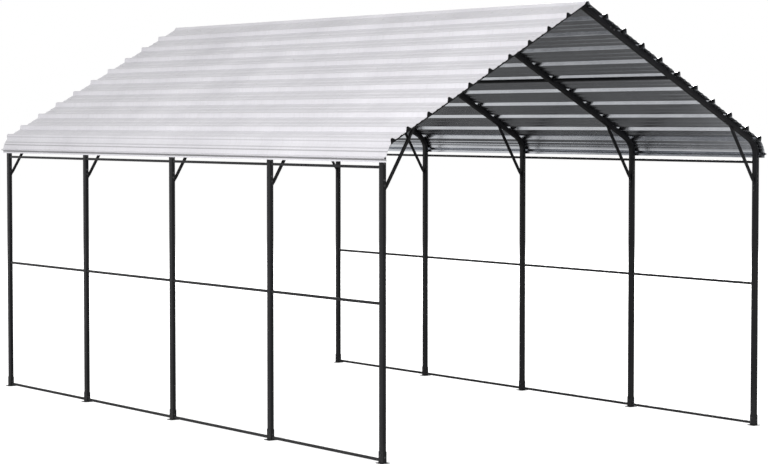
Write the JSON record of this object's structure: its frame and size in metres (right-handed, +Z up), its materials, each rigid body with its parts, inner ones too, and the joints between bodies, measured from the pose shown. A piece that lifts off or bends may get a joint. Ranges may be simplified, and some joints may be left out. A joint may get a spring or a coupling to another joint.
{
  "type": "carport",
  "caption": "Open steel carport with a ribbed pitched roof, rolled eaves and square side rails, standing on bolted base plates.",
  "frame": {"origin": "on the ground under the middle of the plan", "axes": "+X across the building, +Y along it towards the back gable, +Z up"},
  "size_m": [3.7052, 6.086, 3.3156],
  "materials": {
    "frame_paint": "satin charcoal powder coat",
    "sheet_paint": "satin pale grey coil coat outside, plain dark grey backing inside",
    "sheet_backing": "satin dark grey backing coat",
    "fixings": "zinc plated"
  },
  "bodies": {
    "root": {"left_feet": "frame_paint", "left_spigots": "frame_paint", "left_post_1": "frame_paint", "left_post_2": "frame_paint", "left_post_3": "frame_paint", "left_post_4": "frame_paint", "left_post_5": "frame_paint", "left_rafter_1": "frame_paint", "left_rafter_2": "frame_paint", "left_rafter_3": "frame_paint", "left_rafter_4": "frame_paint", "left_rafter_5": "frame_paint", "left_bottom_rails": "frame_paint", "left_mid_rails": "frame_paint", "left_top_rails": "frame_paint", "left_purlins": "frame_paint", "left_knee_braces": "frame_paint", "left_roof_sheet": "sheet_paint", "left_eave_sheet": "sheet_paint", "right_feet": "frame_paint", "right_spigots": "frame_paint", "right_post_1": "frame_paint", "right_post_2": "frame_paint", "right_post_3": "frame_paint", "right_post_4": "frame_paint", "right_post_5": "frame_paint", "right_rafter_1": "frame_paint", "right_rafter_2": "frame_paint", "right_rafter_3": "frame_paint", "right_rafter_4": "frame_paint", "right_rafter_5": "frame_paint", "right_bottom_rails": "frame_paint", "right_mid_rails": "frame_paint", "right_top_rails": "frame_paint", "right_purlins": "frame_paint", "right_knee_braces": "frame_paint", "right_roof_sheet": "sheet_paint", "right_eave_sheet": "sheet_paint", "ridge_connectors": "frame_paint", "ridge_cap": "sheet_paint"}
  },
  "joints": []
}
